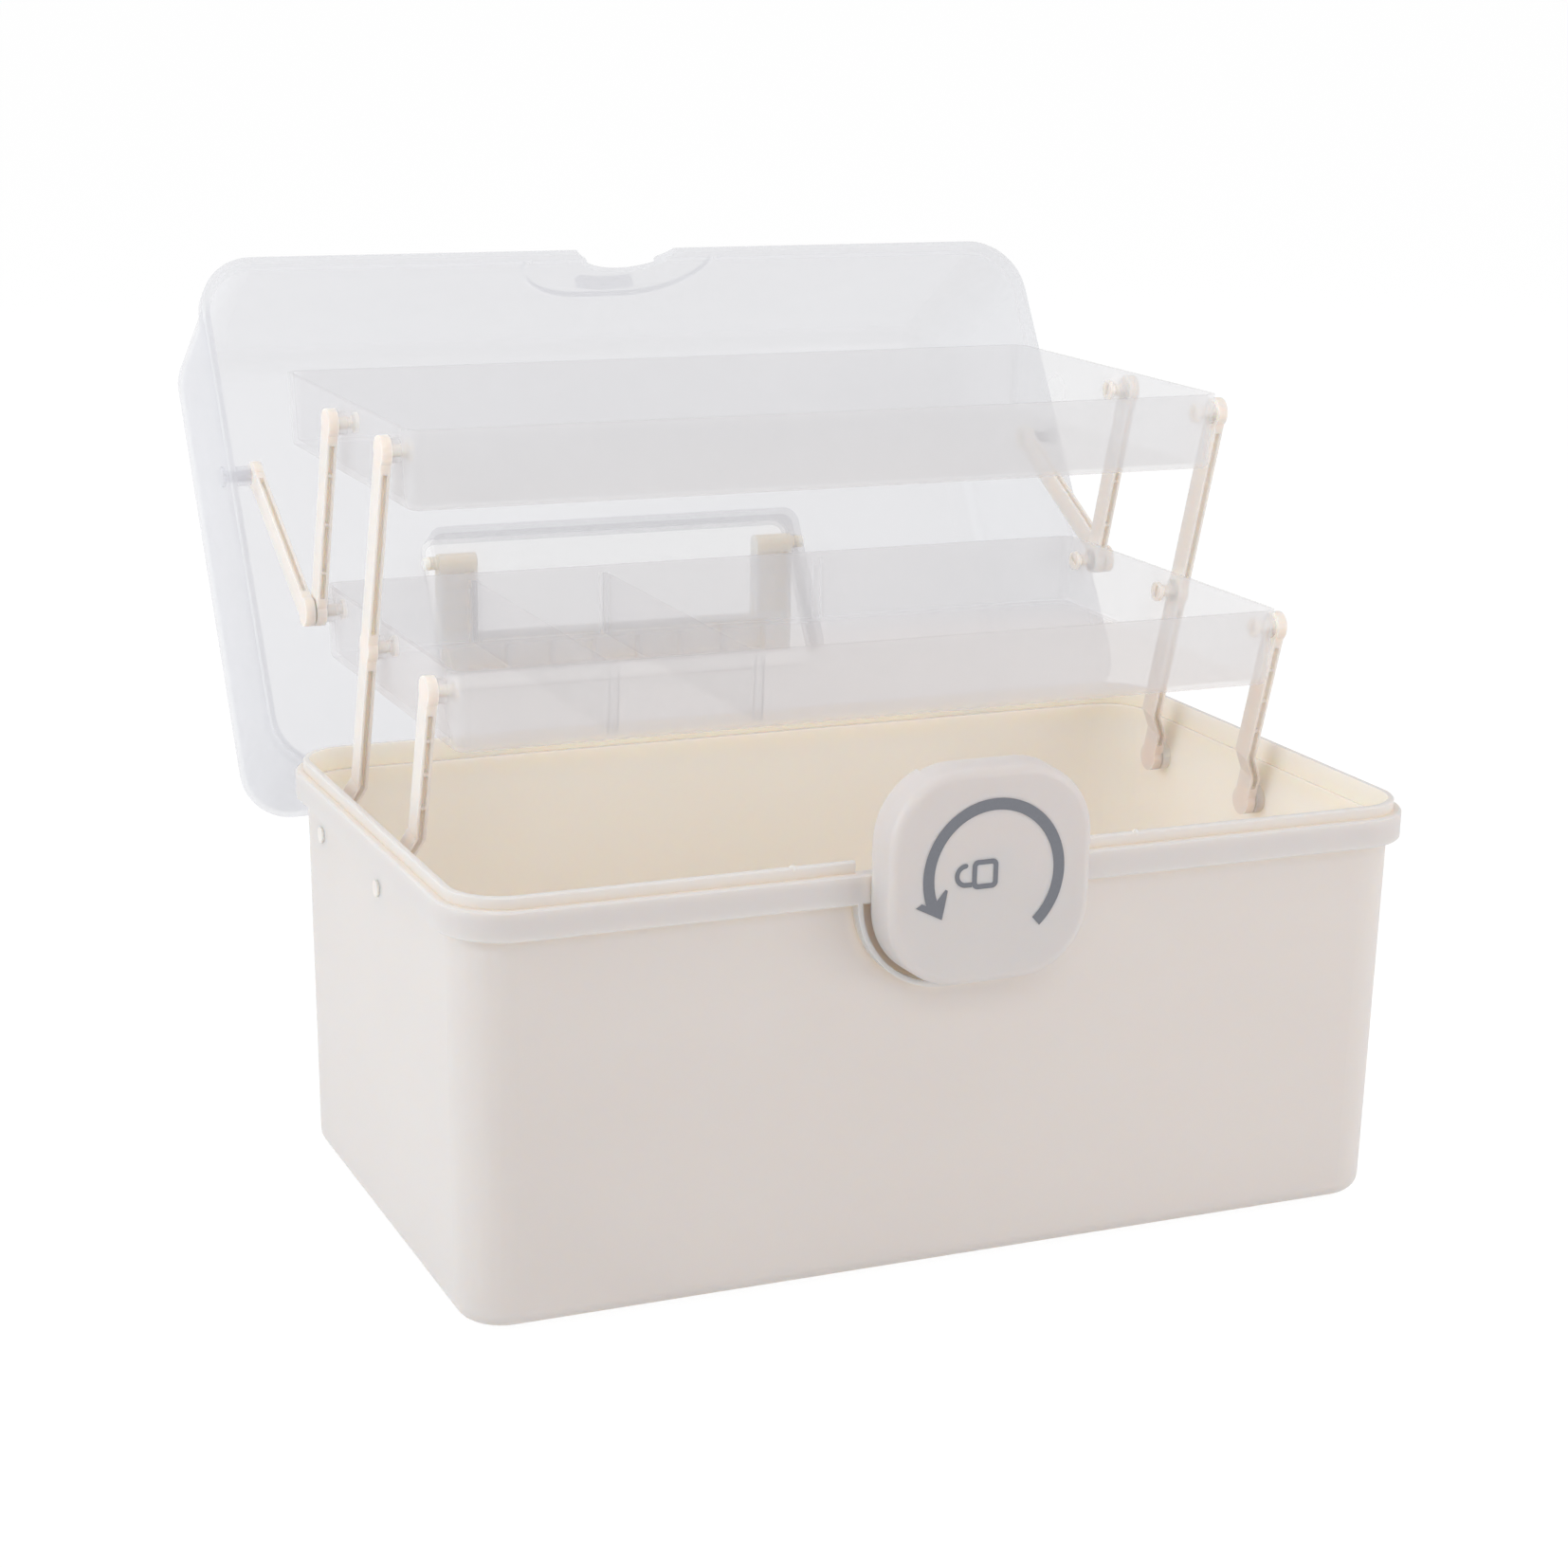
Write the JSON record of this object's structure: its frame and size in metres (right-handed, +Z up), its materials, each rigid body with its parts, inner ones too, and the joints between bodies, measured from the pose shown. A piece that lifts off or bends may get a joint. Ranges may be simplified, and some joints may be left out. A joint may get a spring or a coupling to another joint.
{
  "type": "medicine_box",
  "caption": "Cream plastic three-tier cantilever medicine box, open: frosted lid and trays, rounded base, square turn-knob lock, swing-out arms and a folding handle.",
  "frame": {"origin": "centre of the base's footprint on the ground", "axes": "+X length (right end), +Y rear (hinge side), +Z up; the knob faces -Y"},
  "size_m": [0.3326, 0.3774, 0.2936],
  "materials": {
    "cream_plastic": "fine satin moulding",
    "frosted_plastic": "frosted, translucent"
  },
  "bodies": {
    "base": {"base_tub": "cream_plastic", "hinge_pins": "cream_plastic"},
    "lid": {"lid_shell": "frosted_plastic", "handle_well": "frosted_plastic", "lid_keeper": "frosted_plastic", "lid_studs": "cream_plastic"},
    "handle": {"handle": "cream_plastic"},
    "knob": {"knob_cap": "cream_plastic", "knob_catch": "cream_plastic", "knob_clip": "cream_plastic"},
    "front_arms": {"front_arm_left": "cream_plastic", "front_arm_right": "cream_plastic"},
    "long_arms": {"long_arm_left": "cream_plastic", "long_arm_right": "cream_plastic"},
    "lower_tray": {"lower_tray": "frosted_plastic", "divider_left": "frosted_plastic", "divider_middle": "frosted_plastic"},
    "rear_arms": {"rear_arm_left": "cream_plastic", "rear_arm_right": "cream_plastic"},
    "upper_tray": {"upper_tray": "frosted_plastic"},
    "lid_links": {"lid_link_left": "cream_plastic", "lid_link_right": "cream_plastic"}
  },
  "joints": [
    {"name": "lid_hinge", "type": "hinge", "parent": "base", "child": "lid", "pos_m": [0, 0.0985, 0.1305], "axis": [1, 0, 0], "range_deg": [0, 122]},
    {"name": "handle_fold", "type": "hinge", "parent": "lid", "child": "handle", "pos_m": [0, 0.21493, 0.17567], "axis": [1, 0, 0], "range_deg": [-32, 58]},
    {"name": "knob_turn", "type": "hinge", "parent": "base", "child": "knob", "pos_m": [0, -0.0976, 0.135], "axis": [0, 1, 0], "range_deg": [0, 90]},
    {"name": "front_arm_swing", "type": "hinge", "parent": "base", "child": "front_arms", "pos_m": [0, -0.0046, 0.1177], "axis": [1, 0, 0], "range_deg": [0, 46.2]},
    {"name": "long_arm_swing", "type": "hinge", "parent": "base", "child": "long_arms", "pos_m": [0, 0.0606, 0.1177], "axis": [1, 0, 0], "range_deg": [0, 46.2]},
    {"name": "lower_tray_level", "type": "hinge", "parent": "long_arms", "child": "lower_tray", "pos_m": [0, 0.04098, 0.18437], "axis": [1, 0, 0], "range_deg": [-46.2, 0]},
    {"name": "rear_arm_swing", "type": "hinge", "parent": "lower_tray", "child": "rear_arms", "pos_m": [0, 0.10248, 0.18437], "axis": [1, 0, 0], "range_deg": [0, 46.2]},
    {"name": "upper_tray_level", "type": "hinge", "parent": "rear_arms", "child": "upper_tray", "pos_m": [0, 0.08285, 0.25105], "axis": [1, 0, 0], "range_deg": [-46.2, 0]},
    {"name": "lid_link_swing", "type": "hinge", "parent": "lower_tray", "child": "lid_links", "pos_m": [0, 0.10248, 0.18437], "axis": [1, 0, 0], "range_deg": [0, 156.9]}
  ],
  "couplings": [
    {"joint": "front_arm_swing", "follows": "lid_hinge", "ratio": 0.37787},
    {"joint": "long_arm_swing", "follows": "lid_hinge", "ratio": 0.37787},
    {"joint": "lower_tray_level", "follows": "lid_hinge", "ratio": -0.37787},
    {"joint": "rear_arm_swing", "follows": "lid_hinge", "ratio": 0.37787},
    {"joint": "upper_tray_level", "follows": "lid_hinge", "ratio": -0.37787},
    {"joint": "lid_link_swing", "follows": "lid_hinge", "ratio": 1.285}
  ]
}
